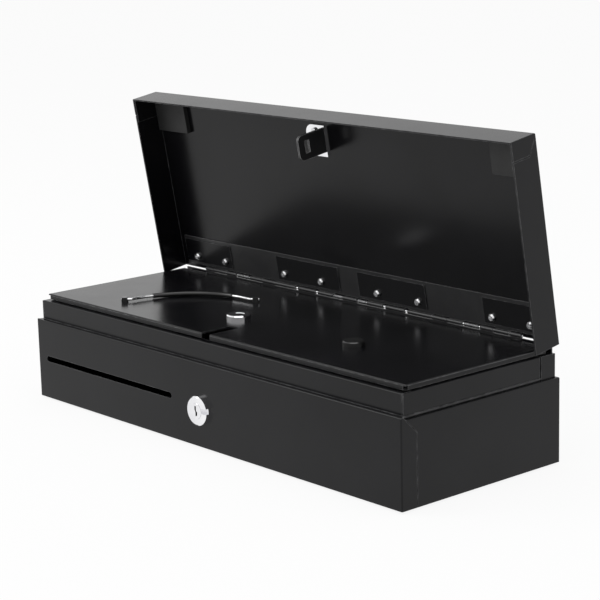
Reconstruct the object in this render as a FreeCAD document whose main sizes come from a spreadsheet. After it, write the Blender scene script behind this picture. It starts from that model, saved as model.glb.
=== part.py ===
import FreeCAD, Part
import math
import os
import Sketcher

# Flip-top cash drawer, shown with the lid open.
# Millimetres. X runs to the right, Y to the back and Z up.
# The origin lies on the counter under the middle of the case, and the front is at -Y.

document = FreeCAD.newDocument("flip_top_cash_drawer")
sizes = document.addObject("Spreadsheet::Sheet", "Sizes")

DRIVING_SIZES = [
    ("case_width", 460.0), ("case_depth", 170.0), ("front_height", 70.0), ("sheet", 1.2),
    ("foot_height", 2.0), ("foot_radius", 7.0), ("foot_side_inset", 26.0), ("foot_end_inset", 22.0),
    ("side_drop", 2.5), ("flange_width", 2.2), ("return_depth", 15.5), ("seam", 0.5),
    ("fold_radius", 1.1), ("front_flange", 4.0),
    ("slot_start", 12.5), ("slot_length", 180.0), ("slot_height", 5.0), ("slot_level", 35.8),
    ("fixing_radius", 2.6),
    ("inlet_x", 150.0), ("inlet_level", 20.0), ("inlet_radius", 5.0), ("grommet_wall", 2.0),
    ("grommet_lip", 1.5),
    ("collar_rise", 16.3), ("collar_side_gap", 2.8), ("collar_front_gap", 5.0),
    ("collar_shelf", 8.0), ("collar_lip", 0.9), ("collar_skirt", 17.0), ("collar_end_gap", 1.4),
    ("support_flange", 15.8), ("support_rise", 6.3), ("ledge_depth", 15.0), ("ledge_height", 18.3),
    ("hinge_inset", 4.1), ("hinge_drop", 2.1), ("knuckle_radius", 1.8), ("pin_radius", 0.9),
    ("pin_clearance", 0.05), ("knuckle_gap", 0.3), ("leaf_sheet", 0.9), ("hinge_end_inset", 35.5),
    ("lid_leaf_depth", 28.8), ("leaf_end_inset", 8.0), ("spring_radius", 1.8), ("spring_bore", 1.1),
    ("spring_end_gap", 0.4), ("rivet_radius", 1.3), ("rivet_height", 0.8), ("rivet_rise", 3.6),
    ("rivet_inset", 5.5),
    ("open_angle", 80.4), ("lid_gap", 1.0), ("lid_room", 5.0),
    ("lid_front_inset", 0.6), ("lid_back_inset", 2.6), ("slit_cut", 0.8), ("mitre_cut", 0.4),
    ("pad_width", 41.5), ("pad_depth", 33.5), ("pad_height", 4.0),
    ("clamp_sheet", 0.8), ("screw_head_radius", 3.1), ("screw_head_height", 2.6), ("screw_line", 10.6),
    ("recess_length", 3.0), ("recess_width", 0.8), ("recess_depth", 1.2),
    ("cover_side_gap", 2.7), ("cover_front_gap", 5.0), ("cover_back_gap", 4.0), ("cover_height", 4.5),
    ("skirt_clearance", 1.0), ("notch_left", 8.2), ("notch_right", 2.5), ("notch_depth", 31.0),
    ("rest_gap", 0.3), ("rim_sheet", 1.8), ("rim_clearance", 0.6), ("tray_wall", 2.0),
    ("tray_depth", 44.3), ("tray_side_gap", 10.2), ("tray_front_gap", 18.0), ("tray_back_gap", 3.5),
    ("bay_notch_half", 48.0), ("bay_notch_back", 40.0), ("bay_split_left", 131.0), ("bay_split_right", 48.0),
    ("cup_columns", 3.0), ("cup_rows", 2.0), ("cup_height", 30.0), ("cup_wall", 2.0),
    ("striker_x", 3.0), ("striker_half", 1.0), ("striker_inset", 10.0), ("striker_width", 21.0),
    ("striker_length", 31.3),
    ("window_width", 10.5), ("window_height", 4.8), ("window_edge", 7.0), ("striker_base", 22.0),
    ("striker_sheet", 1.6), ("striker_corner", 4.5), ("foot_corner", 8.0),
    ("striker_screw_radius", 3.0), ("striker_screw_height", 1.6),
    ("lock_level", 31.0), ("lock_head_radius", 12.1), ("lock_head_length", 4.6), ("lock_head_bevel", 0.9),
    ("barrel_radius", 9.5), ("barrel_length", 22.5), ("plug_radius", 6.5), ("plug_clearance", 0.06),
    ("nut_width", 26.0), ("nut_length", 4.0), ("cam_sheet", 2.0), ("cam_reach", 16.0),
    ("cam_hub_radius", 7.0), ("cam_half", 4.5), ("stem_half", 3.5), ("notch_cut", 3.2),
    ("bracket_sheet", 1.5), ("bracket_back", 45.0), ("bracket_top", 62.0), ("bracket_left", 46.0),
    ("bracket_right", 44.0), ("bracket_foot", 20.0), ("bolt_left", 36.0), ("bolt_right", 34.0),
    ("bolt_line", 12.0), ("bolt_hole_radius", 2.2), ("bolt_radius", 2.1), ("bolt_head_radius", 3.6),
    ("bolt_head_height", 2.0),
    ("pivot_x", 6.0), ("pivot_level", 43.0), ("pivot_radius", 2.5), ("pivot_clearance", 0.08),
    ("lever_sheet", 3.0), ("lever_inset", 11.0), ("latch_swing", 14.0),
    ("coil_length", 28.0), ("coil_radius", 8.5), ("plunger_radius", 4.0), ("plunger_clearance", 0.1),
    ("switch_x", 20.0), ("switch_length", 20.0), ("switch_depth", 6.5), ("switch_height", 10.0),
    ("switch_drop", 16.0), ("coil_level", 25.0), ("plunger_end", 4.6), ("coil_right", 16.0), ("coil_inset", 1.5),
    ("cover_lock_x", 25.0), ("cover_lock_y", 22.0), ("cover_lock_radius", 10.0),
    ("cover_lock_rise", 3.8), ("cover_barrel_radius", 8.0), ("cover_cam_reach", 24.5),
    ("cover_barrel_drop", 9.0),
    ("cover_plug_radius", 5.0), ("knob_x", 112.0), ("knob_y", 20.0), ("knob_radius", 9.0),
    ("knob_height", 4.0), ("knob_stem_radius", 3.0), ("knob_bevel", 0.8), ("corner_relief", 2.6),
    ("handle_left_x", 146.5), ("handle_left_y", 50.0),
    ("handle_right_x", 60.8), ("handle_right_y", 28.0), ("handle_bulge", 23.0),
    ("handle_leg", 6.0), ("handle_bend", 5.0), ("sleeve_share", 0.62),
    ("handle_wire", 1.2), ("sleeve_radius", 2.1), ("handle_level", 2.4), ("eye_clearance", 0.1),
]

for row, (name, value) in enumerate(DRIVING_SIZES, start=1):
    sizes.set("A%d" % row, name)
    sizes.set("B%d" % row, str(value))
    sizes.setAlias("B%d" % row, name)
document.recompute()

DERIVED_SIZES = {
    "half_width": "{case_width} / 2",
    "half_depth": "{case_depth} / 2",
    "inner_width": "{half_width} - {sheet}",
    "inner_depth": "{half_depth} - {sheet}",
    "floor_top": "{foot_height} + {sheet}",
    "foot_x": "{half_width} - {foot_side_inset}",
    "foot_y": "{half_depth} - {foot_end_inset}",
    "front_top": "{foot_height} + {front_height}",
    "side_top": "{front_top} - {side_drop}",
    "return_back": "{return_depth} - {half_depth}",
    "mitre_foot": "{front_top} - {return_depth} + {sheet} + 0.8",
    "collar_top": "{front_top} + {collar_rise}",
    "collar_half": "{half_width} - {collar_side_gap}",
    "collar_front": "{half_depth} - {collar_front_gap}",
        "joggle_top": "{front_top} - 4.8",
    "collar_foot": "{front_top} - {collar_skirt}",
    "support_back": "{half_depth} - 2.8",
    "support_front": "{support_back} - {sheet}",
    "collar_back": "{support_back} - {support_flange} - {collar_end_gap}",
    "support_top": "{collar_top} + {support_rise}",
    "cover_half_width": "{collar_half} - {cover_side_gap}",
    "cover_front": "{collar_front} - {cover_front_gap}",
    "cover_back": "{support_front} - {cover_back_gap}",
    "tray_side": "{collar_half} - {tray_side_gap}",
    "tray_front": "{collar_front} - {tray_front_gap}",
    "tray_back": "{support_front} - {ledge_depth} - {tray_back_gap}",
    "rim_bottom": "{collar_top} + {rest_gap}",
    "rim_top": "{rim_bottom} + {rim_sheet}",
    "cover_foot": "{collar_top} + {skirt_clearance}",
    "cover_top": "{cover_foot} + {cover_height}",
    "cover_inside": "{cover_top} - {sheet}",
    "lid_inside": "{cover_top} + {lid_room}",
    "lid_top": "{lid_inside} + {sheet}",
    "lid_front": "{lid_front_inset} - {half_depth}",
    "lid_back": "{half_depth} - {lid_back_inset}",
    "lid_foot": "{front_top} + {lid_gap}",
    "hinge_half_length": "{half_width} - {hinge_end_inset}",
    "lid_leaf_half": "{half_width} - {leaf_end_inset}",
    "hinge_y": "{half_depth} - {hinge_inset}",
    "hinge_z": "{lid_inside} - {hinge_drop}",
    "bore_radius": "{pin_radius} + {pin_clearance}",
    "leaf_back": "{support_front}",
    "leaf_front": "{support_front} - {leaf_sheet}",
    "plain_leaf_top": "{hinge_z} - {knuckle_radius} - {knuckle_gap}",
    "lid_leaf_foot": "{lid_inside} - {leaf_sheet}",
    "lid_leaf_front": "{hinge_y} - {lid_leaf_depth}",
    "lid_leaf_back": "{hinge_y} - {knuckle_radius} - {knuckle_gap}",
    "slot_left": "{slot_start} - {half_width}",
    "slot_middle": "{foot_height} + {slot_level}",
    "lock_z": "{foot_height} + {lock_level}",
    "barrel_back": "{barrel_length} - {half_depth}",
    "tray_top": "{cover_inside} - {rest_gap}",
    "tray_foot": "{rim_bottom} - {tray_depth}",
    "pivot_z": "{foot_height} + {pivot_level}",
    "bracket_head": "{foot_height} + {bracket_top}",
    "coil_z": "{foot_height} + {coil_level}",
    "inlet_z": "{foot_height} + {inlet_level}",
    "striker_foot": "{lid_inside} - {striker_length}",
    "striker_front": "{collar_front} - {striker_inset}",
    "lever_front": "{striker_front} - {lever_inset}",
    "coil_front": "{lever_front} - {coil_inset}",
}


def bound(words):
    """An expression in which every name in braces is replaced by its cell or its own expression."""
    text = str(words)
    while "{" in text:
        start = text.index("{")
        end = text.index("}", start)
        name = text[start + 1:end]
        cell = "(" + DERIVED_SIZES[name] + ")" if name in DERIVED_SIZES else "Sizes." + name
        text = text[:start] + cell + text[end + 1:]
    return text


def number(words):
    """The value of an expression of names in braces."""
    return float(sizes.evalExpression(bound(words)))


def new_body(label):
    body = document.addObject("PartDesign::Body", label)
    body.Label = label
    return body


def origin_plane(body, role):
    for feature in body.Origin.OriginFeatures:
        if feature.Role == role:
            return feature
    raise RuntimeError("no plane " + role)


def new_sketch(body, name, role, offset):
    sketch = body.newObject("Sketcher::SketchObject", name)
    sketch.AttachmentSupport = [(origin_plane(body, role), "")]
    sketch.MapMode = "FlatFace"
    sketch.setExpression("AttachmentOffset.Base.z", bound(offset))
    return sketch


def bind_point(sketch, shape, place, across, up):
    """Ties one point of a sketch line or circle to two expressions."""
    for kind, words in (("DistanceX", across), ("DistanceY", up)):
        index = sketch.addConstraint(Sketcher.Constraint(kind, -1, 1, shape, place, number(words)))
        sketch.setExpression("Constraints[%d]" % index, bound(words))


def draw_outline(sketch, corners):
    first = sketch.GeometryCount
    places = [FreeCAD.Vector(number(across), number(up), 0) for across, up in corners]
    for index, place in enumerate(places):
        following = places[(index + 1) % len(places)]
        sketch.addGeometry(Part.LineSegment(place, following), False)
    for index in range(len(corners)):
        following = first + (index + 1) % len(corners)
        sketch.addConstraint(Sketcher.Constraint("Coincident", first + index, 2, following, 1))
    for index, (across, up) in enumerate(corners):
        bind_point(sketch, first + index, 1, across, up)


def draw_circle(sketch, across, up, radius):
    index = sketch.GeometryCount
    middle = FreeCAD.Vector(number(across), number(up), 0)
    circle = Part.Circle(middle, FreeCAD.Vector(0, 0, 1), number(radius))
    sketch.addGeometry(circle, False)
    bind_point(sketch, index, 3, across, up)
    constraint = sketch.addConstraint(Sketcher.Constraint("Radius", index, number(radius)))
    sketch.setExpression("Constraints[%d]" % constraint, bound(radius))


def rectangle(left, right, low, high):
    return [(left, low), (right, low), (right, high), (left, high)]


def extrude(body, name, plane, start, end, outlines=(), circles=()):
    """Adds material from start to end along the plane's own axis."""
    offset = {"XY": start, "YZ": start, "XZ": "-(" + str(end) + ")"}[plane]
    sketch = new_sketch(body, name + "_outline", plane + "_Plane", offset)
    for outline in outlines:
        draw_outline(sketch, outline)
    for across, up, radius in circles:
        draw_circle(sketch, across, up, radius)
    pad = body.newObject("PartDesign::Pad", name)
    pad.Profile = sketch
    pad.setExpression("Length", bound("(%s) - (%s)" % (end, start)))
    document.recompute()
    return pad


def carve(body, name, plane, start, end, outlines=(), circles=()):
    """Takes material away from start to end along the plane's own axis."""
    before = body.Shape.Volume
    offset = {"XY": end, "YZ": end, "XZ": "-(" + str(start) + ")"}[plane]
    sketch = new_sketch(body, name + "_outline", plane + "_Plane", offset)
    for outline in outlines:
        draw_outline(sketch, outline)
    for across, up, radius in circles:
        draw_circle(sketch, across, up, radius)
    pocket = body.newObject("PartDesign::Pocket", name)
    pocket.Profile = sketch
    pocket.setExpression("Length", bound("(%s) - (%s)" % (end, start)))
    document.recompute()
    if body.Shape.Volume >= before:
        raise RuntimeError(name + " cuts nothing")
    return pocket


def edges_that(tip, wanted):
    """The names of the edges of a feature that the test wanted accepts."""
    return ["Edge%d" % index for index, edge in enumerate(tip.Shape.Edges, start=1)
            if wanted(edge.BoundBox)]


def round_edges(body, name, radius, wanted):
    """Rounds the edges of the body's last feature that the test wanted accepts."""
    tip = body.Tip
    names = edges_that(tip, wanted)
    fillet = body.newObject("PartDesign::Fillet", name)
    fillet.Base = (tip, names)
    fillet.setExpression("Radius", bound(radius))
    document.recompute()
    return fillet


def bevel_rim(body, name, size, plane, level):
    """Bevels the edges of the body's last feature that lie flat at a level of its Y or Z axis."""
    tip = body.Tip

    def on_level(box):
        low, thick = (box.YMin, box.YLength) if plane == "XZ" else (box.ZMin, box.ZLength)
        return thick < 0.01 and near(low, level)

    names = edges_that(tip, on_level)
    chamfer = body.newObject("PartDesign::Chamfer", name)
    chamfer.Base = (tip, names)
    chamfer.setExpression("Size", bound(size))
    document.recompute()
    return chamfer


def near(value, words):
    return abs(value - number(words)) < 0.01


def long_edge_at(box, across=None, along=None, level=None):
    """True for a straight edge that lies at the given X, Y or Z size on either side."""
    if across is not None:
        if box.XLength > 0.01 or not near(abs(box.XMin), across):
            return False
    if along is not None:
        if box.YLength > 0.01 or not near(box.YMin, along):
            return False
    if level is not None:
        if box.ZLength > 0.01 or not near(box.ZMin, level):
            return False
    return box.DiagonalLength > 8


def primitive(kind, name, dimensions, place, turn=None):
    """A box, cylinder or other primitive with bound sizes at a place worked out from the sheet."""
    shape = document.addObject("Part::" + kind, name)
    for key, words in dimensions.items():
        shape.setExpression(key, bound(words))
    rotation = turn if turn is not None else FreeCAD.Rotation()
    shape.Placement = FreeCAD.Placement(FreeCAD.Vector(*[number(words) for words in place]), rotation)
    document.recompute()
    return shape


ALONG_X = FreeCAD.Rotation(FreeCAD.Vector(0, 1, 0), 90)
ALONG_Y = FreeCAD.Rotation(FreeCAD.Vector(1, 0, 0), -90)


def joined(label, pieces):
    """Several touching or separate shapes as one sub-part."""
    whole = document.addObject("Part::MultiFuse", label)
    whole.Shapes = pieces
    whole.Label = label
    document.recompute()
    return whole


def less(label, base, tool):
    """A shape with another one taken out of it."""
    rest = document.addObject("Part::Cut", label)
    rest.Base = base
    rest.Tool = tool
    rest.Label = label
    document.recompute()
    return rest


def both_sides(corners):
    """An outline and its mirror image about the middle plane."""
    mirrored = [("-(%s)" % across, up) for across, up in corners]
    return [corners, mirrored[::-1]]


def hang_on_lid(shape):
    """Turns a sub-part drawn on the closed lid to where the open lid holds it."""
    turn = FreeCAD.Rotation(FreeCAD.Vector(1, 0, 0), -number("{open_angle}"))
    middle = FreeCAD.Vector(0, number("{hinge_y}"), number("{hinge_z}"))
    opened = FreeCAD.Placement(FreeCAD.Vector(0, 0, 0), turn, middle)
    shape.Placement = opened.multiply(shape.Placement)
    document.recompute()
    return shape


# The case

def case_shell():
    """Floor, side walls and back wall in one folded sheet, with a narrow inward flange on top."""
    body = new_body("case_shell")
    extrude(body, "floor", "XY", "{foot_height}", "{floor_top}",
            [rectangle("-{inner_width}", "{inner_width}", "-{inner_depth}", "{half_depth}")])
    side = [("{return_back} + {seam}", "{foot_height}"), ("{half_depth}", "{foot_height}"),
            ("{half_depth}", "{side_top}"),
            ("{return_back} - ({side_top} - {mitre_foot} - {seam})", "{side_top}"),
            ("{return_back} + {seam}", "{mitre_foot}")]
    extrude(body, "right_wall", "YZ", "{inner_width}", "{half_width}", [side])
    extrude(body, "left_wall", "YZ", "-{half_width}", "-{inner_width}", [side])
    extrude(body, "back_wall", "XZ", "{inner_depth}", "{half_depth}",
            [rectangle("-{half_width}", "{half_width}", "{foot_height}", "{side_top}")])
    flange_front = "{return_back} - ({side_top} - {sheet} - {mitre_foot} - {seam})"
    extrude(body, "side_flanges", "XY", "{side_top} - {sheet}", "{side_top}",
            both_sides(rectangle("{half_width} - {flange_width}", "{half_width}",
                                 flange_front, "{half_depth}")))
    extrude(body, "back_flange", "XY", "{side_top} - {sheet}", "{side_top}",
            [rectangle("-{inner_width}", "{inner_width}", "{half_depth} - {flange_width}",
                       "{half_depth}")])
    extrude(body, "joint_strips", "XY", "{foot_height}", "{collar_foot} - 1",
            both_sides(rectangle("{inner_width} - {sheet}", "{inner_width}",
                                 "-{inner_depth}", "{return_back} + 9")))
    carve(body, "fixing_holes", "XY", "{foot_height}", "{floor_top}", [],
          [(x + "{foot_x}", y + "{foot_y}", "{fixing_radius}") for x in ("", "-") for y in ("", "-")])
    carve(body, "inlet_hole", "XZ", "{inner_depth}", "{half_depth}", [],
          [("-{inlet_x}", "{inlet_z}", "{inlet_radius} + {grommet_wall}")])
    round_edges(body, "folds", "{fold_radius}", lambda box: (
        long_edge_at(box, across="{half_width}", along="{half_depth}")
        or long_edge_at(box, across="{half_width}", level="{side_top}")
        or long_edge_at(box, along="{half_depth}", level="{side_top}")))
    return body


def front_panel():
    """The front sheet with the note slot and the lock hole, folded back along both sides."""
    body = new_body("front_panel")
    extrude(body, "face", "XZ", "-{half_depth}", "-{inner_depth}",
            [rectangle("-{half_width}", "{half_width}", "{foot_height}", "{front_top}")])
    turned_side = [("-{half_depth}", "{foot_height}"), ("{return_back}", "{foot_height}"),
                   ("{return_back}", "{mitre_foot}"),
                   ("{return_back} - ({front_top} - {mitre_foot})", "{front_top}"),
                   ("-{half_depth}", "{front_top}")]
    extrude(body, "right_return", "YZ", "{inner_width}", "{half_width}", [turned_side])
    extrude(body, "left_return", "YZ", "-{half_width}", "-{inner_width}", [turned_side])
    extrude(body, "top_flange", "XY", "{front_top} - {sheet}", "{front_top}",
            [rectangle("-{inner_width}", "{inner_width}", "-{half_depth}",
                       "{front_flange} - {half_depth}")])
    end = "{slot_height} / 2"
    carve(body, "note_slot", "XZ", "-{half_depth}", "-{inner_depth}",
          [rectangle("{slot_left} + " + end, "{slot_left} + {slot_length} - " + end,
                     "{slot_middle} - " + end, "{slot_middle} + " + end)])
    carve(body, "slot_ends", "XZ", "-{half_depth}", "-{inner_depth}", [],
          [("{slot_left} + " + end, "{slot_middle}", end),
           ("{slot_left} + {slot_length} - " + end, "{slot_middle}", end)])
    carve(body, "lock_hole", "XZ", "-{half_depth}", "-{inner_depth}", [],
          [("0", "{lock_z}", "{barrel_radius}")])
    round_edges(body, "folds", "{fold_radius}", lambda box: (
        long_edge_at(box, across="{half_width}", along="-{half_depth}")
        or long_edge_at(box, along="-{half_depth}", level="{front_top}")))
    return body


def collar():
    """The raised frame inside the case that the lid closes over and the till rests on."""
    body = new_body("collar")
    top = "{collar_top}"
    inner_half = "{collar_half} - {sheet}"
    extrude(body, "front_wall", "XZ", "-{collar_front}", "-{collar_front} + {sheet}",
            [rectangle("-{collar_half}", "{collar_half}", "{joggle_top} - {sheet}", top)])
    extrude(body, "side_walls", "XY", "{joggle_top} - {sheet}", top,
            both_sides(rectangle(inner_half, "{collar_half}", "-{collar_front}", "{collar_back}")))
    extrude(body, "front_shelf", "XY", top + " - {sheet}", top,
            [rectangle("-{collar_half}", "{collar_half}", "-{collar_front}",
                       "-{collar_front} + {collar_shelf} + 1")])
    extrude(body, "side_shelves", "XY", top + " - {sheet}", top,
            both_sides(rectangle("{collar_half} - {collar_shelf}", "{collar_half}",
                                 "-{collar_front}", "{collar_back}")))
    extrude(body, "side_lips", "XY", "{front_top} - 1", "{front_top}",
            both_sides(rectangle("{collar_half} - 0.2", "{collar_half} + {collar_lip}",
                                 "-{collar_front} - {collar_lip}", "{collar_back}")))
    extrude(body, "front_lip", "XY", "{front_top} - 1", "{front_top}",
            [rectangle("-{collar_half}", "{collar_half}", "-{collar_front} - {collar_lip} + 0.05",
                       "-{collar_front} + 0.2")])
    extrude(body, "side_joggles", "XY", "{joggle_top} - {sheet}", "{joggle_top}",
            both_sides(rectangle(inner_half, "{inner_width}", "-{collar_front}", "{collar_back}")))
    extrude(body, "front_joggle", "XY", "{joggle_top} - {sheet}", "{joggle_top}",
            [rectangle("-{collar_half}", "{collar_half}", "-{inner_depth}",
                       "-{collar_front} + {sheet}")])
    extrude(body, "side_skirts", "XY", "{collar_foot}", "{joggle_top}",
            both_sides(rectangle("{inner_width} - {sheet}", "{inner_width}", "-{collar_front}",
                                 "{collar_back}")))
    extrude(body, "front_skirt", "XY", "{collar_foot}", "{joggle_top}",
            [rectangle("-{collar_half}", "{collar_half}", "-{inner_depth}",
                       "-{inner_depth} + {sheet}")])
    carve(body, "striker_room", "XY", "{collar_top} - {sheet}", "{collar_top}",
          [rectangle("-{striker_x} - 6", "-{striker_x} + 6", "-{collar_front} + {collar_shelf} - 1.5",
                     "-{collar_front} + {collar_shelf} + 1")])
    seam_back = "-{collar_front} + {collar_shelf} + 1"
    carve(body, "corner_seams", "XZ", "-{half_depth}", seam_back,
          both_sides(rectangle(inner_half + " - {seam}", inner_half, "{collar_foot} - 1", top + " + 1")))
    carve(body, "shelf_seams", "XY", top + " - {sheet}", top,
          both_sides(rectangle("{collar_half} - {collar_shelf} - 1", inner_half,
                               seam_back, seam_back + " + {seam}")))
    round_edges(body, "folds", "{sheet} * 0.7", lambda box: (
        long_edge_at(box, across="{collar_half}", level="{collar_top}")
        or long_edge_at(box, along="-{collar_front}", level="{collar_top}")))
    return body


def hinge_support():
    """The upright sheet across the back that carries the hinge, with a flange round each side."""
    body = new_body("hinge_support")
    low = "{joggle_top} - {sheet}"
    extrude(body, "back_plate", "XZ", "{support_front}", "{support_back}",
            [[("-{collar_half}", low), ("{collar_half}", low), ("{collar_half}", "{collar_top}"),
              ("{lid_leaf_half} + 2.5", "{collar_top}"), ("{lid_leaf_half} + 2.5", "{support_top}"),
              ("-{lid_leaf_half} - 2.5", "{support_top}"), ("-{lid_leaf_half} - 2.5", "{collar_top}"),
              ("-{collar_half}", "{collar_top}")]])
    flange = rectangle("{collar_half} - {sheet}", "{collar_half}",
                       "{support_back} - {support_flange}", "{support_back}")
    extrude(body, "side_flanges", "XY", low, "{collar_top}", both_sides(flange))
    extrude(body, "side_joggles", "XY", low, "{joggle_top}",
            both_sides(rectangle("{collar_half} - {sheet}", "{inner_width}",
                                 "{support_back} - {support_flange}", "{support_front}")))
    extrude(body, "side_skirts", "XY", "{collar_foot}", "{joggle_top}",
            both_sides(rectangle("{inner_width} - {sheet}", "{inner_width}",
                                 "{support_back} - {support_flange}", "{support_front}")))
    extrude(body, "back_joggle", "XY", low, "{joggle_top}",
            [rectangle("-{collar_half}", "{collar_half}", "{support_front}", "{inner_depth}")])
    extrude(body, "back_skirt", "XZ", "{inner_depth} - {sheet}", "{inner_depth}",
            [rectangle("-{collar_half}", "{collar_half}", "{collar_foot}", "{joggle_top}")])
    return body


def till_ledge():
    """An angle under the hinge on which the back rim of the till rests."""
    body = new_body("till_ledge")
    half = "{collar_half} - {sheet}"
    extrude(body, "shelf", "XY", "{collar_top} - {sheet}", "{collar_top}",
            [rectangle("-(" + half + ")", half, "{support_front} - {ledge_depth}", "{support_front}")])
    extrude(body, "upright", "XZ", "{support_front} - {sheet}", "{support_front}",
            [rectangle("-(" + half + ")", half, "{collar_top} - {ledge_height}", "{collar_top}")])
    return body


def rubber_feet():
    """Four rubber rings under the floor, each round a fixing hole."""
    body = new_body("rubber_feet")
    rings = []
    for x in ("", "-"):
        for y in ("", "-"):
            for radius in ("{foot_radius}", "{fixing_radius}"):
                rings.append((x + "{foot_x}", y + "{foot_y}", radius))
    extrude(body, "rings", "XY", "0", "{foot_height}", [], rings)
    return body


def cable_grommet():
    """A rubber ring in the back wall for the cable."""
    body = new_body("cable_grommet")
    hole = ("-{inlet_x}", "{inlet_z}")
    neck_radius = "{inlet_radius} + {grommet_wall}"
    lip_radius = neck_radius + " + {grommet_lip}"
    inside = "{inner_depth} - {grommet_lip}"
    outside = "{half_depth} + {grommet_lip}"
    extrude(body, "outer_lip", "XZ", "{half_depth}", outside, [], [hole + (lip_radius,)])
    extrude(body, "neck", "XZ", "{inner_depth}", "{half_depth}", [], [hole + (neck_radius,)])
    extrude(body, "inner_lip", "XZ", inside, "{inner_depth}", [], [hole + (lip_radius,)])
    carve(body, "bore", "XZ", inside, outside, [], [hole + ("{inlet_radius}",)])
    return body


# The hinge

# Each knuckle or window runs between two of these shares of the hinge's half length.
BASE_KNUCKLES = [(0.0, 0.045), (0.226, 0.339), (0.504, 0.589), (0.778, 0.849), (0.941, 1.0)]
LID_KNUCKLES = [(0.109, 0.206), (0.360, 0.502), (0.593, 0.676), (0.853, 0.937)]
SPRING_WINDOWS = [(0.048, 0.106), (0.680, 0.774)]


def mirrored_spans(shares):
    """Spans on both sides of the middle, as expressions, with the middle one joined across."""
    spans = []
    for inner, outer in shares:
        high = "{hinge_half_length} * %g" % outer
        if inner == 0:
            spans.append(("-" + high, high))
        else:
            low = "{hinge_half_length} * %g" % inner
            spans.append((low, high))
            spans.append(("-" + high, "-" + low))
    return sorted(spans, key=lambda span: number(span[0]))


def gaps_between(spans, start, end):
    """The stretches from start to end that the spans leave free."""
    edges = [start]
    for low, high in spans:
        edges.extend([low, high])
    edges.append(end)
    pairs = list(zip(edges[0::2], edges[1::2]))
    return [pair for pair in pairs if number(pair[1]) - number(pair[0]) > 0.01]


def hinge_base_leaf():
    """The fixed leaf: a low strip on the support and the knuckles that stand on it."""
    body = new_body("hinge_base_leaf")
    half = "{hinge_half_length}"
    extrude(body, "strip", "YZ", "-" + half, half,
            [rectangle("{leaf_front}", "{leaf_back}", "{collar_top}", "{hinge_z}")])
    extrude(body, "barrel", "YZ", "-" + half, half, [], [("{hinge_y}", "{hinge_z}", "{knuckle_radius}")])
    windows = gaps_between(mirrored_spans(BASE_KNUCKLES), "-" + half, half)
    carve(body, "windows", "XZ", "{hinge_y} - {knuckle_radius}", "{hinge_y} + {knuckle_radius}",
          [rectangle(low, high, "{plain_leaf_top}", "{hinge_z} + {knuckle_radius} + 0.2")
           for low, high in windows])
    carve(body, "bore", "YZ", "-" + half, half, [], [("{hinge_y}", "{hinge_z}", "{bore_radius}")])
    return body


def hinge_lid_leaf():
    """The moving leaf: a wide strip on the inside of the lid and the knuckles behind it."""
    body = new_body("hinge_lid_leaf")
    half = "{hinge_half_length}"
    extrude(body, "strip", "YZ", "-{lid_leaf_half}", "{lid_leaf_half}",
            [rectangle("{lid_leaf_front}", "{lid_leaf_back}", "{lid_leaf_foot}", "{lid_inside}")])
    extrude(body, "necks", "YZ", "-" + half, half,
            [rectangle("{lid_leaf_back} - 1", "{hinge_y}", "{lid_leaf_foot}", "{lid_inside}")])
    extrude(body, "barrel", "YZ", "-" + half, half, [], [("{hinge_y}", "{hinge_z}", "{knuckle_radius}")])
    windows = gaps_between(mirrored_spans(LID_KNUCKLES), "-" + half + " - 1", half + " + 1")
    carve(body, "windows", "XZ", "{lid_leaf_back}", "{hinge_y} + {knuckle_radius}",
          [rectangle(low, high, "{hinge_z} - {knuckle_radius} - 0.2", "{lid_inside} + 0.2")
           for low, high in windows])
    carve(body, "bore", "YZ", "-" + half, half, [], [("{hinge_y}", "{hinge_z}", "{bore_radius}")])
    return hang_on_lid(body)


def hinge_pin():
    """One rod through every knuckle."""
    return primitive("Cylinder", "hinge_pin",
                     {"Radius": "{pin_radius}", "Height": "2 * {hinge_half_length} + 3"},
                     ("-{hinge_half_length} - 1.5", "{hinge_y}", "{hinge_z}"), ALONG_X)


def leaf_rivets():
    """One small rivet near each end of the fixed leaf."""
    heads = []
    for side in ("-", ""):
        place = (side + "({hinge_half_length} - {rivet_inset})", "{leaf_front} - {rivet_height}",
                 "{collar_top} + {rivet_rise}")
        heads.append(primitive("Cylinder", "rivet", {"Radius": "{rivet_radius}",
                                                     "Height": "{rivet_height}"}, place, ALONG_Y))
    return joined("leaf_rivets", heads)


def hinge_springs():
    """The four springs round the hinge pin, each as a plain tube in its window."""
    body = new_body("hinge_springs")
    for index, (low, high) in enumerate(mirrored_spans(SPRING_WINDOWS), start=1):
        extrude(body, "spring_%d" % index, "YZ", low + " + {spring_end_gap}", high + " - {spring_end_gap}",
                [], [("{hinge_y}", "{hinge_z}", "{spring_radius}"), ("{hinge_y}", "{hinge_z}", "{spring_bore}")])
    return body


# The lid, drawn closed and then turned open about the hinge line

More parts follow.
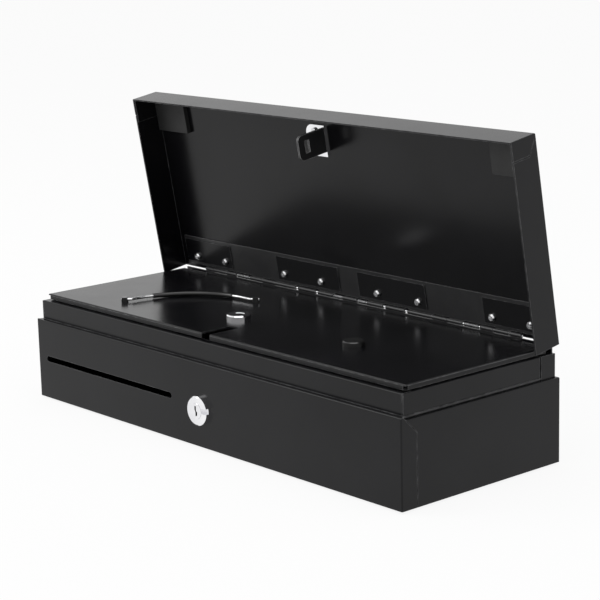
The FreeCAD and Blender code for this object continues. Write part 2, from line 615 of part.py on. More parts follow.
def lid_shell():
    """Top panel with a skirt round the front and both sides, open towards the hinge."""
    body = new_body("lid_shell")
    extrude(body, "block", "XY", "{lid_foot}", "{lid_top}",
            [rectangle("-{half_width}", "{half_width}", "{lid_front}", "{lid_back}")])
    carve(body, "hollow", "XY", "{lid_foot}", "{lid_inside}",
          [rectangle("-{inner_width}", "{inner_width}", "{lid_front} + {sheet}", "{lid_back}")])
    slit_front = "{lid_front} + {return_depth} - 0.7"
    slit_top = "{lid_top} - {return_depth} + 6.5"
    for name, start, end in (("right_slit", "{half_width} - {slit_cut}", "{half_width}"),
                             ("left_slit", "-{half_width}", "-{half_width} + {slit_cut}")):
        carve(body, name, "YZ", start, end,
              [rectangle(slit_front, slit_front + " + {seam} * 2", "{lid_foot}", slit_top)])
    mitre = [(slit_front, slit_top), (slit_front + " + {seam} * 2", slit_top),
             ("{lid_front} + 2.2", "{lid_top} - 1.2"), ("{lid_front} + 1.5", "{lid_top} - 1.2")]
    carve(body, "right_mitre", "YZ", "{half_width} - {mitre_cut}", "{half_width}", [mitre])
    carve(body, "left_mitre", "YZ", "-{half_width}", "-{half_width} + {mitre_cut}", [mitre])
    extrude(body, "joint_strips", "XY", "{lid_foot} + 0.6", "{lid_inside}",
            both_sides(rectangle("{inner_width} - {sheet}", "{inner_width}", "{lid_front} + {sheet}",
                                 "{lid_front} + {return_depth} + 6")))
    round_edges(body, "folds", "{fold_radius}", lambda box: (
        long_edge_at(box, across="{half_width}", level="{lid_top}")
        or long_edge_at(box, along="{lid_front}", level="{lid_top}")
        or long_edge_at(box, across="{half_width}", along="{lid_front}")))
    return hang_on_lid(body)


# How far from the middle each clamp plate starts and ends, and where its screws sit.
CLAMP_SPANS = [("12", "92"), ("{lid_leaf_half} - 66", "{lid_leaf_half} - 1")]
SCREW_PLACES = ["35", "83", "{lid_leaf_half} - 57", "{lid_leaf_half} - 17"]


def clamp_plates():
    """Four plates that press the moving leaf against the lid."""
    body = new_body("clamp_plates")
    outlines = []
    for low, high in CLAMP_SPANS:
        outlines.extend(both_sides(rectangle(low, high, "{lid_leaf_front} + 2.5",
                                             "{lid_leaf_back} - 2.5")))
    extrude(body, "plates", "XY", "{lid_leaf_foot} - {clamp_sheet}", "{lid_leaf_foot}", outlines)
    return hang_on_lid(body)


def lid_screws():
    """Eight domed screws with a cross recess that hold the clamp plates."""
    pieces = []
    level = "{lid_leaf_foot} - {clamp_sheet} - {screw_head_height}"
    for distance in SCREW_PLACES:
        for side in ("", "-"):
            place = ("%s(%s)" % (side, distance), "{hinge_y} - {screw_line}", level)
            head = primitive("Cone", "screw_head",
                             {"Radius1": "{screw_head_radius} * 0.72", "Radius2": "{screw_head_radius}",
                              "Height": "{screw_head_height} * 0.5"}, place)
            collar_place = (place[0], place[1], level + " + {screw_head_height} * 0.5")
            rim = primitive("Cylinder", "screw_rim", {"Radius": "{screw_head_radius}",
                                                      "Height": "{screw_head_height} * 0.5"}, collar_place)
            long_half = " - {recess_length} / 2"
            short_half = " - {recess_width} / 2"
            across = primitive("Box", "recess_across",
                               {"Length": "{recess_length}", "Width": "{recess_width}",
                                "Height": "{recess_depth}"},
                               (place[0] + long_half, place[1] + short_half, level))
            along = primitive("Box", "recess_along",
                              {"Length": "{recess_width}", "Width": "{recess_length}",
                               "Height": "{recess_depth}"},
                              (place[0] + short_half, place[1] + long_half, level))
            solid_head = joined("screw_solid", [head, rim])
            recess = joined("screw_recess", [across, along])
            pieces.append(less("screw", solid_head, recess))
    return hang_on_lid(joined("lid_screws", pieces))


def striker_plate():
    """The foot of the striker against the lid, rounded on the side away from the blade."""
    body = new_body("striker_plate")
    low = "{lid_inside} - {striker_sheet}"
    left = "-{striker_x} - {striker_base}"
    extrude(body, "foot", "XY", low, "{lid_inside}",
            [rectangle(left, "-{striker_x} + {striker_half}", "-{striker_front} - 1.5",
                       "-{striker_front} + {striker_width} + 4.5")])
    round_edges(body, "corners", "{foot_corner}", lambda box: (
        box.XLength < 0.01 and box.YLength < 0.01 and near(box.XMin, left)))
    return hang_on_lid(body)


def striker_tongue():
    """The upright tongue that goes down into the latch, with a window for the hook."""
    body = new_body("striker_tongue")
    front = "-{striker_front}"
    back = "-{striker_front} + {striker_width}"
    left = "-{striker_x} - {striker_half}"
    right = "-{striker_x} + {striker_half}"
    extrude(body, "blade", "YZ", left, right,
            [rectangle(front, back, "{striker_foot}", "{lid_inside} - {striker_sheet}")])
    margin = "({striker_width} - {window_width}) / 2"
    low = "{striker_foot} + {window_edge}"
    carve(body, "window", "YZ", left, right,
          [rectangle(front + " + " + margin, back + " - " + margin, low, low + " + {window_height}")])
    round_edges(body, "corners", "{striker_corner}", lambda box: (
        box.YLength < 0.01 and box.ZLength < 0.01 and near(box.ZMin, "{striker_foot}")))
    return hang_on_lid(body)


def striker_screws():
    """Two screws through the striker's foot."""
    heads = []
    for place in ("-{striker_front} + 4", "-{striker_front} + {striker_width} - 1"):
        heads.append(primitive("Cylinder", "striker_screw",
                               {"Radius": "{striker_screw_radius}", "Height": "{striker_screw_height}"},
                               ("-{striker_x} - {striker_base} / 2", place,
                                "{lid_inside} - {striker_sheet} - {striker_screw_height}")))
    return hang_on_lid(joined("striker_screws", heads))


def lid_pads():
    """Two rubber pads in the lid's front corners that come down on the till cover."""
    body = new_body("lid_pads")
    extrude(body, "pads", "XY", "{lid_inside} - {pad_height}", "{lid_inside}",
            both_sides(rectangle("{inner_width} - {sheet} - {pad_width}", "{inner_width} - {sheet}",
                                 "{lid_front} + {sheet}", "{lid_front} + {sheet} + {pad_depth}")))
    return hang_on_lid(body)


# The front lock and the latch behind it

def front_lock_body():
    """The chromed lock housing: a round head with a notch, and a barrel through the panel."""
    body = new_body("front_lock_body")
    lock = ("0", "{lock_z}")
    extrude(body, "head", "XZ", "-{half_depth} - {lock_head_length}", "-{half_depth}", [],
            [lock + ("{lock_head_radius}",)])
    bevel_rim(body, "head_edge", "{lock_head_bevel}", "XZ", "-{half_depth} - {lock_head_length}")
    extrude(body, "barrel", "XZ", "-{half_depth}", "{barrel_back}", [], [lock + ("{barrel_radius}",)])
    face = "-{half_depth} - {lock_head_length}"
    carve(body, "notch", "XZ", face, face + " + {notch_cut}",
          [rectangle("{plug_radius} + 0.3", "{lock_head_radius} + 1",
                     "{lock_z} - 1", "{lock_z} + 3.4")])
    carve(body, "bore", "XZ", face, "{barrel_back}", [], [lock + ("{plug_radius} + {plug_clearance}",)])
    return body


def front_lock_nut():
    """The hexagon nut that clamps the lock from inside."""
    body = new_body("front_lock_nut")
    corners = []
    for index in range(6):
        angle = 60 * index + 30
        reach = "{nut_width} / 2 / cos(30)"
        corners.append((reach + " * cos(%d)" % angle, "{lock_z} + " + reach + " * sin(%d)" % angle))
    extrude(body, "hexagon", "XZ", "-{inner_depth}", "-{inner_depth} + {nut_length}", [corners])
    carve(body, "thread_hole", "XZ", "-{inner_depth}", "-{inner_depth} + {nut_length}", [],
          [("0", "{lock_z}", "{barrel_radius} + 0.02")])
    return body


def front_lock_plug():
    """The turning core with a double-bitted keyhole and a square stem behind."""
    body = new_body("front_lock_plug")
    face = "-{half_depth} - {lock_head_length} - 0.3"
    lock = ("0", "{lock_z}")
    extrude(body, "core", "XZ", face, "{barrel_back} + 0.4", [], [lock + ("{plug_radius}",)])
    extrude(body, "stem", "XZ", "{barrel_back} + 0.4", "{barrel_back} + 1 + {cam_sheet}",
            [rectangle("-{stem_half}", "{stem_half}", "{lock_z} - {stem_half}", "{lock_z} + {stem_half}")])
    keyhole = [("-0.4", "{lock_z} - 4.2"), ("1.7", "{lock_z} - 3.4"), ("1.7", "{lock_z} - 0.6"),
               ("0.3", "{lock_z} + 0.6"), ("0.3", "{lock_z} + 4.2"), ("-1.5", "{lock_z} + 4.2"),
               ("-1.5", "{lock_z} + 1.2"), ("-0.4", "{lock_z} - 0.4")]
    carve(body, "keyhole", "XZ", face, face + " + 8", [keyhole])
    return body


def front_lock_cam():
    """The flat arm on the lock's stem that blocks the latch when the key is turned."""
    body = new_body("front_lock_cam")
    start = "{barrel_back} + 0.7"
    end = start + " + {cam_sheet}"
    extrude(body, "hub", "XZ", start, end, [], [("0", "{lock_z}", "{cam_hub_radius}")])
    extrude(body, "arm", "XZ", start, end,
            [rectangle("-{cam_half}", "{cam_half}", "{lock_z} - {cam_reach}", "{lock_z}")])
    carve(body, "square_hole", "XZ", start, end,
          [rectangle("-{stem_half}", "{stem_half}", "{lock_z} - {stem_half}", "{lock_z} + {stem_half}")])
    return body


def latch_bracket():
    """An upright plate on a foot behind the lock that holds the latch and the release coil."""
    body = new_body("latch_bracket")
    front = "-{bracket_back} - {bracket_sheet}"
    extrude(body, "upright", "XZ", front, "-{bracket_back}",
            [rectangle("-{bracket_left}", "{bracket_right}", "{floor_top}", "{bracket_head}")])
    extrude(body, "foot", "XY", "{floor_top}", "{floor_top} + {bracket_sheet}",
            [rectangle("-{bracket_left}", "{bracket_right}", "-{bracket_back} - 0.1",
                       "-{bracket_back} + {bracket_foot}")])
    bolt_line = "-{bracket_back} + {bolt_line}"
    carve(body, "foot_holes", "XY", "{floor_top}", "{floor_top} + {bracket_sheet}", [],
          [("-{bolt_left}", bolt_line, "{bolt_hole_radius}"),
           ("{bolt_right}", bolt_line, "{bolt_hole_radius}")])
    carve(body, "pivot_hole", "XZ", front, "-{bracket_back}", [],
          [("{pivot_x}", "{pivot_z}", "{pivot_radius}")])
    return body


def bracket_screws():
    """Two screws that hold the bracket's foot to the floor."""
    heads = []
    for place in ("-{bolt_left}", "{bolt_right}"):
        base = (place, "-{bracket_back} + {bolt_line}", "{floor_top} + {bracket_sheet}")
        heads.append(primitive("Cylinder", "foot_screw", {"Radius": "{bolt_head_radius}",
                                                          "Height": "{bolt_head_height}"}, base))
        shank = (place, "-{bracket_back} + {bolt_line}", "{floor_top} + 0.1")
        heads.append(primitive("Cylinder", "foot_shank", {"Radius": "{bolt_radius}",
                                                          "Height": "{bracket_sheet}"}, shank))
    return joined("bracket_screws", heads)


def latch_pivot():
    """The pin that the latch lever turns on, with a head at its front end."""
    front = "-{lever_front} - 2.5"
    shaft = primitive("Cylinder", "pivot_shaft",
                      {"Radius": "{pivot_radius}", "Height": "{lever_front} + 2.5 - {bracket_back}"},
                      ("{pivot_x}", front, "{pivot_z}"), ALONG_Y)
    head = primitive("Cylinder", "pivot_head", {"Radius": "{pivot_radius} + 1.5", "Height": "1.5"},
                     ("{pivot_x}", front, "{pivot_z}"), ALONG_Y)
    return joined("latch_pivot", [shaft, head])


def latch_lever():
    """The hooked lever, drawn latched and then swung back to where the release leaves it."""
    body = new_body("latch_lever")
    front = "-{lever_front}"
    back = front + " + {lever_sheet}"
    bar = "{striker_foot} + {window_edge}"
    outline = [("{pivot_x} - 5", "{pivot_z} - 22"), ("{pivot_x} + 5", "{pivot_z} - 22"),
               ("{pivot_x} + 6", "{pivot_z}"), ("{pivot_x} + 4", bar + " + 6"),
               ("{pivot_x} - 1", bar + " + 6"), ("-{striker_x} - 4.5", bar + " + 3.2"),
               ("-{striker_x} - 4.5", bar + " + 0.8"),
               ("{pivot_x} - 5", bar + " + 0.8"), ("{pivot_x} - 5", "{pivot_z}")]
    extrude(body, "plate", "XZ", front, back, [outline])
    extrude(body, "hub", "XZ", back, "-{bracket_back} - {bracket_sheet} - 0.5", [],
            [("{pivot_x}", "{pivot_z}", "{pivot_radius} + 2.2")])
    carve(body, "bore", "XZ", front, "-{bracket_back} - {bracket_sheet} - 0.5", [],
          [("{pivot_x}", "{pivot_z}", "{pivot_radius} + {pivot_clearance}")])
    turn = FreeCAD.Rotation(FreeCAD.Vector(0, 1, 0), number("{latch_swing}"))
    middle = FreeCAD.Vector(number("{pivot_x}"), 0, number("{pivot_z}"))
    body.Placement = FreeCAD.Placement(FreeCAD.Vector(0, 0, 0), turn, middle)
    document.recompute()
    return body


def release_coil():
    """The release coil's steel frame round its winding, with a hole for the plunger."""
    body = new_body("release_coil")
    right = "-{coil_right}"
    left = "-{coil_right} - {coil_length}"
    low = "{coil_z} - {coil_radius} - 1.5"
    high = "{coil_z} + {coil_radius} + 1.5"
    front = "-{coil_front} - 5"
    back = "-{bracket_back} - {bracket_sheet}"
    extrude(body, "frame", "YZ", left, right, [rectangle(front, back, low, high)])
    carve(body, "inside", "XZ", front, back,
          [rectangle(left + " + 1.5", right + " - 1.5", low + " + 1.5", high + " - 1.5")])
    carve(body, "plunger_way", "YZ", left, right, [],
          [("-{coil_front} + 3", "{coil_z}", "{plunger_radius} + {plunger_clearance}")])
    return body


def coil_winding():
    """The copper winding on its bobbin."""
    body = new_body("coil_winding")
    left = "-{coil_right} - {coil_length} + 1.5"
    right = "-{coil_right} - 1.5"
    centre = ("-{coil_front} + 3", "{coil_z}")
    extrude(body, "winding", "YZ", left, right, [], [centre + ("{coil_radius} - 0.5",)])
    carve(body, "bore", "YZ", left, right, [], [centre + ("{plunger_radius} + {plunger_clearance}",)])
    return body


def coil_plunger():
    """The plunger that ends just short of the foot of the latch lever."""
    left = "-{coil_right} - {coil_length} - 1"
    length = "{coil_right} + {coil_length} + 1 - {plunger_end}"
    return primitive("Cylinder", "coil_plunger", {"Radius": "{plunger_radius}", "Height": length},
                     (left, "-{coil_front} + 3", "{coil_z}"), ALONG_X)


def lid_switch():
    """A small switch on the bracket that tells whether the lid is shut."""
    case = primitive("Box", "switch_case",
                     {"Length": "{switch_length}", "Width": "{switch_depth}", "Height": "{switch_height}"},
                     ("{switch_x}", "-{bracket_back} - {bracket_sheet} - {switch_depth}",
                      "{bracket_head} - {switch_drop}"))
    button = primitive("Cylinder", "switch_button", {"Radius": "1.2", "Height": "2"},
                       ("{switch_x} + {switch_length} / 2",
                        "-{bracket_back} - {bracket_sheet} - {switch_depth} / 2",
                        "{bracket_head} - {switch_drop} + {switch_height}"))
    return joined("lid_switch", [case, button])


# The removable till and its cover

def till_tray():
    """The moulded tray with a rim, three note bays, a bay for the coin cups and room for the latch."""
    body = new_body("till_tray")
    side = "{tray_side}"
    notch = [("-" + side, "-{tray_front}"), ("-{bay_notch_half}", "-{tray_front}"),
             ("-{bay_notch_half}", "-{bay_notch_back}"), ("{bay_notch_half}", "-{bay_notch_back}"),
             ("{bay_notch_half}", "-{tray_front}"), (side, "-{tray_front}"),
             (side, "{tray_back}"), ("-" + side, "{tray_back}")]
    extrude(body, "tub", "XY", "{tray_foot}", "{tray_top}", [notch])
    rim_side = "{cover_half_width} - {sheet} - {rim_clearance}"
    rim_front = "-{cover_front} + {sheet} + {rim_clearance}"
    rim_back = "{cover_back} - {sheet} - {rim_clearance}"
    rim = [("-(" + rim_side + ")", rim_front), ("-{bay_notch_half}", rim_front),
           ("-{bay_notch_half}", "-{bay_notch_back}"), ("{bay_notch_half}", "-{bay_notch_back}"),
           ("{bay_notch_half}", rim_front), (rim_side, rim_front), (rim_side, rim_back),
           ("-(" + rim_side + ")", rim_back)]
    extrude(body, "rim", "XY", "{rim_bottom}", "{rim_top}", [rim])
    wall = "{tray_wall}"
    bays = [rectangle("-" + side + " + " + wall, "-{bay_split_left} - " + wall + " / 2",
                      "-{tray_front} + " + wall, "{tray_back} - " + wall),
            rectangle("-{bay_split_left} + " + wall + " / 2", "-{bay_notch_half} - " + wall,
                      "-{tray_front} + " + wall, "{tray_back} - " + wall),
            rectangle("-{bay_notch_half}", "{bay_split_right} - " + wall,
                      "-{bay_notch_back} + " + wall, "{tray_back} - " + wall),
            rectangle("{bay_split_right} + " + wall, side + " - " + wall,
                      "-{tray_front} + " + wall, "{tray_back} - " + wall)]
    carve(body, "bays", "XY", "{tray_foot} + " + wall, "{tray_top}", bays)
    carve(body, "lock_room", "XY", "{tray_top} - 15", "{tray_top}",
          [rectangle("-{bay_notch_half} - {tray_wall} - 0.1", "-{bay_notch_half} + 0.1",
                     "-{cover_lock_y} - 12", "-{cover_lock_y} + 12")])
    return body


def coin_tray():
    """The lift-out block of coin cups in the till's right-hand bay."""
    body = new_body("coin_tray")
    gap = "0.4"
    left = "{bay_split_right} + {tray_wall} + " + gap
    right = "{tray_side} - {tray_wall} - " + gap
    front = "-{tray_front} + {tray_wall} + " + gap
    back = "{tray_back} - {tray_wall} - " + gap
    base = "{tray_foot} + {tray_wall}"
    top = base + " + {cup_height}"
    extrude(body, "block", "XY", base, top, [rectangle(left, right, front, back)])
    columns = int(number("{cup_columns}"))
    rows = int(number("{cup_rows}"))
    cups = []
    for column in range(columns):
        for row in range(rows):
            wide = "((" + right + ") - (" + left + ") - {cup_wall}) / %d" % columns
            deep = "((" + back + ") - (" + front + ") - {cup_wall}) / %d" % rows
            cups.append(rectangle("%s + {cup_wall} + (%s) * %d" % (left, wide, column),
                                  "%s + (%s) * %d" % (left, wide, column + 1),
                                  "%s + {cup_wall} + (%s) * %d" % (front, deep, row),
                                  "%s + (%s) * %d" % (front, deep, row + 1)))
    carve(body, "cups", "XY", base + " + {cup_wall}", top, cups)
    floor_level = number(base + " + {cup_wall}")
    round_edges(body, "cup_floors", "8", lambda box: (
        box.ZLength < 0.01 and abs(box.ZMin - floor_level) < 0.01))
    return body


def insert_cover():
    """The till cover's top sheet with the way in for the striker and the holes for its fittings."""
    body = new_body("insert_cover")
    half = "{cover_half_width}"
    extrude(body, "top", "XY", "{cover_inside}", "{cover_top}",
            [rectangle("-" + half, half, "-{cover_front}", "{cover_back}")])
    carve(body, "striker_way", "XY", "{cover_inside}", "{cover_top}",
          [rectangle("-{notch_left}", "{notch_right}", "-{cover_front} - 1",
                     "-{cover_front} + {notch_depth}")])
    carve(body, "fitting_holes", "XY", "{cover_inside}", "{cover_top}", [],
          [("-{cover_lock_x}", "-{cover_lock_y}", "{cover_barrel_radius}"),
           ("{knob_x}", "-{knob_y}", "{knob_stem_radius}")])
    round_edges(body, "folds", "{sheet} * 0.8", lambda box: (
        long_edge_at(box, across=half, level="{cover_top}")
        or long_edge_at(box, along="-{cover_front}", level="{cover_top}")))
    return body


def cover_skirts():
    """The strips under the cover's edges that keep it in place on the till, open at the corners."""
    body = new_body("cover_skirts")
    half = "{cover_half_width}"
    ends = half + " - {corner_relief}"
    front = "-{cover_front}"
    long_sides = [rectangle("-(" + ends + ")", "-{notch_left}", front, front + " + {sheet}"),
                  rectangle("{notch_right}", ends, front, front + " + {sheet}"),
                  rectangle("-(" + ends + ")", ends, "{cover_back} - {sheet}", "{cover_back}")]
    extrude(body, "long_skirts", "XY", "{cover_foot}", "{cover_inside}", long_sides)
    extrude(body, "side_skirts", "XY", "{cover_foot}", "{cover_inside}",
            both_sides(rectangle(half + " - {sheet}", half, front + " + {corner_relief}",
                                 "{cover_back} - {corner_relief}")))
    return body


def cover_lock_body():
    """The chromed lock housing in the cover."""
    body = new_body("cover_lock_body")
    lock = ("-{cover_lock_x}", "-{cover_lock_y}")
    extrude(body, "barrel", "XY", "{cover_inside} - {cover_barrel_drop}", "{cover_top}", [],
            [lock + ("{cover_barrel_radius}",)])
    extrude(body, "head", "XY", "{cover_top}", "{cover_top} + {cover_lock_rise}", [],
            [lock + ("{cover_lock_radius}",)])
    bevel_rim(body, "head_edge", "{lock_head_bevel}", "XY", "{cover_top} + {cover_lock_rise}")
    carve(body, "bore", "XY", "{cover_inside} - {cover_barrel_drop}", "{cover_top} + {cover_lock_rise}",
          [], [lock + ("{cover_plug_radius} + {plug_clearance}",)])
    return body


def cover_lock_plug():
    """The turning core of the cover's lock."""
    body = new_body("cover_lock_plug")
    lock = ("-{cover_lock_x}", "-{cover_lock_y}")
    top = "{cover_top} + {cover_lock_rise} - 0.4"
    low = "{cover_inside} - {cover_barrel_drop} - 0.5"
    extrude(body, "core", "XY", low, top, [], [lock + ("{cover_plug_radius}",)])
    carve(body, "keyhole", "XY", top + " - 6", top,
          [rectangle("-{cover_lock_x} - 3.6", "-{cover_lock_x} + 3.6", "-{cover_lock_y} - 0.8",
                     "-{cover_lock_y} + 0.8")])
    return body


def cover_lock_cam():
    """The arm under the cover's lock."""
    body = new_body("cover_lock_cam")
    top = "{cover_inside} - {cover_barrel_drop} - 0.5"
    low = top + " - 1.6"
    extrude(body, "hub", "XY", low, top, [], [("-{cover_lock_x}", "-{cover_lock_y}", "6")])
    extrude(body, "arm", "XY", low, top,
            [rectangle("-{cover_lock_x} - 4", "-{cover_lock_x} + 4", "-{cover_lock_y}",
                       "-{cover_lock_y} + {cover_cam_reach}")])
    return body


def cover_knob():
    """A low black knob on the right of the cover."""
    body = new_body("cover_knob")
    knob = ("{knob_x}", "-{knob_y}")
    extrude(body, "stem", "XY", "{cover_inside} - 3", "{cover_top}", [], [knob + ("{knob_stem_radius}",)])
    extrude(body, "cap", "XY", "{cover_top}", "{cover_top} + {knob_height}", [],
            [knob + ("{knob_radius}",)])
    bevel_rim(body, "cap_edge", "{knob_bevel}", "XY", "{cover_top} + {knob_height}")
    return body


def handle_frame():
    """A placement on the line between the handle's ends, X along it and Y to the back left."""
    left = FreeCAD.Vector(-number("{handle_left_x}"), -number("{handle_left_y}"), 0)
    right = FreeCAD.Vector(-number("{handle_right_x}"), number("{handle_right_y}"), 0)
    run = right - left
    turn = FreeCAD.Rotation(FreeCAD.Vector(0, 0, 1), math.degrees(math.atan2(run.y, run.x)))
    middle = (left + right) * 0.5
    middle.z = number("{cover_top} + {handle_level}")
    return FreeCAD.Placement(middle, turn), run.Length / 2


def handle_bow(half):
    """The radius of the handle's bow and how far its centre lies behind the line of its ends."""
    bow_half = half - number("{handle_leg}")
    bulge = number("{handle_bulge}")
    radius = (bow_half * bow_half + bulge * bulge) / (2 * bulge)
    return radius, bulge - radius


def bow_arc(half, left, right):
    """The part of the bow between two turns from its middle, in radians."""
    radius, centre = handle_bow(half)
    places = [FreeCAD.Vector(radius * math.sin(turn), centre + radius * math.cos(turn), 0)
              for turn in (left, (left + right) / 2, right)]
    return Part.Arc(*places).toShape()


def bent_rod(edges, radius, bore=None):
    """A round rod or tube along lines and arcs that run on smoothly from one to the next."""
    whole = None
    for edge in edges:
        start = edge.valueAt(edge.FirstParameter)
        ahead = edge.tangentAt(edge.FirstParameter)
        rings = [Part.Wire([Part.Edge(Part.Circle(start, ahead, radius))])]
        if bore is not None:
            rings.append(Part.Wire([Part.Edge(Part.Circle(start, ahead, bore))]))
        section = Part.makeFace(rings, "Part::FaceMakerBullseye")
        if isinstance(edge.Curve, Part.Line):
            piece = section.extrude(ahead * edge.Length)
        else:
            axis = (start - edge.Curve.Center).cross(ahead)
            turn = math.degrees(edge.Length / edge.Curve.Radius)
            piece = section.revolve(edge.Curve.Center, axis, turn)
        whole = piece if whole is None else whole.fuse(piece)
    return whole


def end_bend(half, side):
    """The small bend from the bow to the straight end on one side, and its two end points."""
    radius, centre = handle_bow(half)
    bend = number("{handle_bend}")
    reach = math.sqrt((radius + bend) ** 2 - (centre - bend) ** 2)
    middle = FreeCAD.Vector(side * reach, bend, 0)
    on_line = FreeCAD.Vector(side * reach, 0, 0)
    bow_centre = FreeCAD.Vector(0, centre, 0)
    towards = (bow_centre - middle).normalize()
    on_bow = middle + towards * bend
    half_way = (FreeCAD.Vector(0, -1, 0) + towards).normalize()
    between = middle + half_way * bend
    return on_line, between, on_bow, math.asin(on_bow.x / radius)


def handle_wire():
    """The steel rod of the carrying handle, lying flat on the cover."""
    frame, half = handle_frame()
    left_line, left_middle, left_bow, left_turn = end_bend(half, -1)
    right_line, right_middle, right_bow, right_turn = end_bend(half, 1)
    edges = [Part.makeLine(FreeCAD.Vector(-half - 2, 0, 0), left_line),
             Part.Arc(left_line, left_middle, left_bow).toShape(),
             bow_arc(half, left_turn, right_turn),
             Part.Arc(right_bow, right_middle, right_line).toShape(),
             Part.makeLine(right_line, FreeCAD.Vector(half + 2, 0, 0))]
    rod = document.addObject("Part::Feature", "handle_wire")
    rod.Label = "handle_wire"
    rod.Shape = bent_rod(edges, number("{handle_wire}"))
    rod.Placement = frame
    return rod


def handle_sleeve():
    """The black grip over the middle of the rod."""
    frame, half = handle_frame()
    radius = handle_bow(half)[0]
    turn = math.asin(0.9 * half / radius) * number("{sleeve_share}")
    sleeve = document.addObject("Part::Feature", "handle_sleeve")
    sleeve.Label = "handle_sleeve"
    sleeve.Shape = bent_rod([bow_arc(half, -turn, turn)], number("{sleeve_radius}"),
                            number("{handle_wire}"))
    sleeve.Placement = frame
    return sleeve


def handle_eyes():
    """Two small lugs that hold the ends of the rod."""
    frame, half = handle_frame()
    lugs = []
    lift = number("{handle_level}")
    wire = number("{handle_wire}")
    for side in (-1, 1):
        middle = side * (half - 1)
        block = Part.makeBox(5, 5, lift + wire + 0.7, FreeCAD.Vector(middle - 2.5, -2.5, -lift))
        hole = Part.makeCylinder(wire + number("{eye_clearance}"), 10,
                                 FreeCAD.Vector(middle - 5, 0, 0), FreeCAD.Vector(1, 0, 0))
        lugs.append(block.cut(hole))
    eyes = document.addObject("Part::Feature", "handle_eyes")
    eyes.Label = "handle_eyes"
    eyes.Shape = Part.makeCompound(lugs)
    eyes.Placement = frame
    return eyes


SUB_PARTS = [
    case_shell, front_panel, collar, hinge_support, till_ledge, rubber_feet, cable_grommet,
    hinge_base_leaf, hinge_lid_leaf, hinge_pin, leaf_rivets, hinge_springs,
    lid_shell, clamp_plates, lid_screws, striker_plate, striker_tongue, striker_screws, lid_pads,
    front_lock_body, front_lock_nut, front_lock_plug, front_lock_cam,
    latch_bracket, bracket_screws, latch_pivot, latch_lever, release_coil, coil_winding,
    coil_plunger, lid_switch,
    till_tray, coin_tray, insert_cover, cover_skirts,
    cover_lock_body, cover_lock_plug, cover_lock_cam, cover_knob,
    handle_wire, handle_sleeve, handle_eyes,
]


def check_document():
    for item in document.Objects:
        if "Invalid" in item.State or "Error" in item.State:
            raise RuntimeError(item.Label + " failed")


def write_parts(parts):
    os.makedirs("parts", exist_ok=True)
    for part in parts:
        if part.Shape.isNull() or not part.Shape.isValid():
            raise RuntimeError(part.Label + " has no valid shape")
    for part in parts:
        part.Shape.exportStep("parts/" + part.Label + ".step")
        print("%-18s %9.1f mm3, %3d faces" % (part.Label, part.Shape.Volume, len(part.Shape.Faces)))


finished = []
for make in SUB_PARTS:
    finished.append(make())
document.recompute()
check_document()
write_parts(finished)
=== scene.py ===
import math

import bpy
from mathutils import Matrix, Vector


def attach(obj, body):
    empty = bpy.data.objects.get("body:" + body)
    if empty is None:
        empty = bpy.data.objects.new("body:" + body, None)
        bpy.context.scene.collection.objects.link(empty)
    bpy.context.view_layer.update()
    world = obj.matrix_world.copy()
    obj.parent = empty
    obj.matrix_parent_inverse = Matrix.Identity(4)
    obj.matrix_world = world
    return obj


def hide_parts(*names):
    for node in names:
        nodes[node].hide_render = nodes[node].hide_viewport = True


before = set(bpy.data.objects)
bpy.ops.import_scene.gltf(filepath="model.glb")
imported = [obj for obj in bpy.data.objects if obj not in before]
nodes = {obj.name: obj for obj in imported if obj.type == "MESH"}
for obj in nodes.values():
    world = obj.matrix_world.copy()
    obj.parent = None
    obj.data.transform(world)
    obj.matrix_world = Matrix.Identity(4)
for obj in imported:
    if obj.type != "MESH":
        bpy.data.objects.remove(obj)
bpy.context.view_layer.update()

# Lengths are in metres. X runs to the right of the drawer, Y to its back and Z up.
EVEN_GRAIN = (1.0, 1.0, 1.0)
DRAWN_GRAIN = (0.15, 1.0, 1.0)
# Width of the powder coat's edge band that is painted light grey as the highlight of the rounded folds.
COAT_HIGHLIGHT_EDGE = 0.0008
SHEET_EDGE = 0.0004
BLADE_EDGE = 0.0009


# Materials

